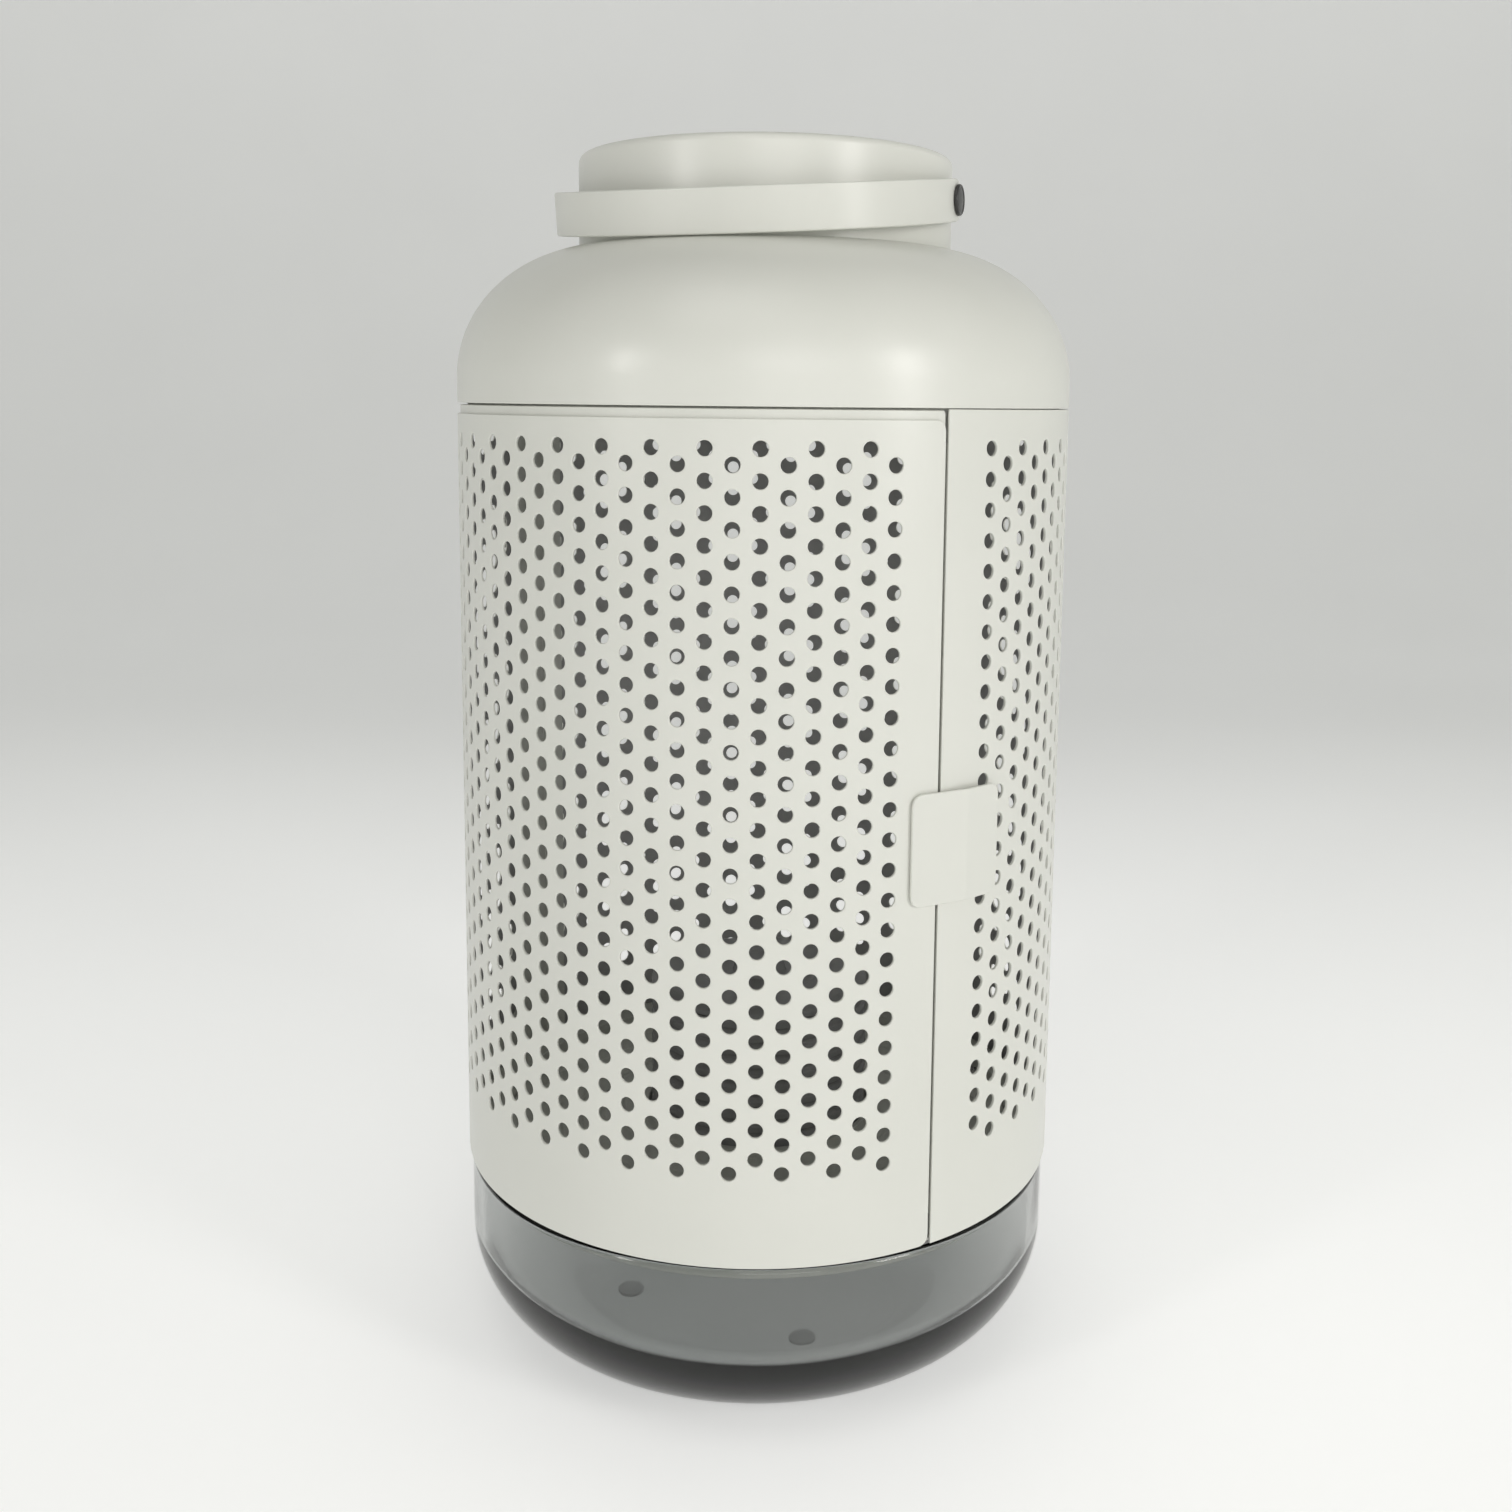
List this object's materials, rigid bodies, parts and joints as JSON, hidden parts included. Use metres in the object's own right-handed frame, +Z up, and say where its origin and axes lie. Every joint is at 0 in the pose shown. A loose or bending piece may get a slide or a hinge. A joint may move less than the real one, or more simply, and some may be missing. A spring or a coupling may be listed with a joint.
{
  "type": "air purifier",
  "caption": "Lantern-shaped room air purifier with a hinged perforated door, fan under a top outlet grille, clear base bowl and a swinging carry handle.",
  "frame": {"origin": "centre of the footprint, on the surface the purifier stands on", "axes": "+Z up along the body's axis; -Y is the front; +X is to the right seen from the front, where the door's finger tab is"},
  "size_m": [0.225, 0.225, 0.4392],
  "materials": {
    "paint": "satin warm white powder coat",
    "painted_plastic": "satin warm white",
    "smoked_clear": "clear, polished, lightly smoked",
    "black_plastic": "satin black",
    "dark_plastic": "fine-textured dark grey",
    "grey_plastic": "satin mid grey",
    "bumper": "milky, soft",
    "steel": "bright zinc plated",
    "rubber": "soft matt",
    "filter_paper": "pleated fibre",
    "carbon": "matt black granules",
    "circuit_board": "green solder mask",
    "light_ring": "milky diffuser"
  },
  "bodies": {
    "housing": {"base_bowl": "smoked_clear", "base_plate": "painted_plastic", "base_ring": "painted_plastic", "base_screw_1": "steel", "base_screw_2": "steel", "base_screw_3": "steel", "base_screw_4": "steel", "bowl_seal": "rubber", "button_switch": "dark_plastic", "catch_magnet": "dark_plastic", "control_board": "circuit_board", "deck_screw_1": "steel", "deck_screw_2": "steel", "deck_screw_3": "steel", "fan_deck": "dark_plastic", "fan_housing": "dark_plastic", "fan_motor": "steel", "foot_pad_1": "bumper", "foot_pad_2": "bumper", "foot_pad_3": "bumper", "foot_pad_4": "bumper", "head_ring": "painted_plastic", "hinge_body_leaf_lower": "paint", "hinge_body_leaf_upper": "paint", "hinge_pin_lower": "steel", "hinge_pin_upper": "steel", "jamb_post_left": "painted_plastic", "jamb_post_right": "painted_plastic", "neck_ring": "painted_plastic", "outlet_grille": "painted_plastic", "pivot_bush_1": "rubber", "pivot_bush_2": "rubber", "pivot_cap_1": "black_plastic", "pivot_cap_2": "black_plastic", "pivot_pin_1": "steel", "pivot_pin_2": "steel", "power_inlet": "black_plastic", "power_lead": "black_plastic", "shoulder_cover": "painted_plastic", "side_panel": "paint", "status_ring": "light_ring"},
    "door": {"door_panel": "paint", "door_frame": "paint", "door_tab": "paint", "tab_bumper": "rubber", "strike_plate": "steel", "hinge_door_leaf_upper": "paint", "hinge_door_leaf_lower": "paint"},
    "fan": {"impeller": "dark_plastic", "motor_shaft": "steel"},
    "button": {"power_button": "painted_plastic"},
    "handle": {"bail_handle": "paint"},
    "filter": {"filter_frame": "dark_plastic", "filter_media": "filter_paper", "carbon_mat": "carbon", "filter_seal": "rubber", "filter_pull": "black_plastic"},
    "canister": {"canister_body": "grey_plastic", "canister_lid": "grey_plastic", "carbon_fill": "carbon"}
  },
  "joints": [
    {"name": "door_hinge", "type": "hinge", "parent": "housing", "child": "door", "pos_m": [-0.1, 0.05658, 0.21], "axis": [0, 0, -1], "range_deg": [0, 110]},
    {"name": "handle_pivot", "type": "hinge", "parent": "housing", "child": "handle", "pos_m": [0, 0, 0.4231], "axis": [-0.9367, 0.3502, 0], "range_deg": [0, 194]},
    {"name": "fan_spin", "type": "hinge", "parent": "housing", "child": "fan", "pos_m": [0, 0, 0.402], "axis": [0, 0, 1], "continuous": true},
    {"name": "button_press", "type": "slide", "parent": "housing", "child": "button", "axis": [0, 0, -1], "range_m": [0, 0.0012], "stiffness_N_per_m": 400, "springref_m": -0.0005},
    {"name": "filter_out", "type": "slide", "parent": "housing", "child": "filter", "axis": [0, 0, -1], "range_m": [0, 0.06]},
    {"name": "canister_lift", "type": "slide", "parent": "housing", "child": "canister", "axis": [0, 0, 1], "range_m": [0, 0.04]}
  ]
}
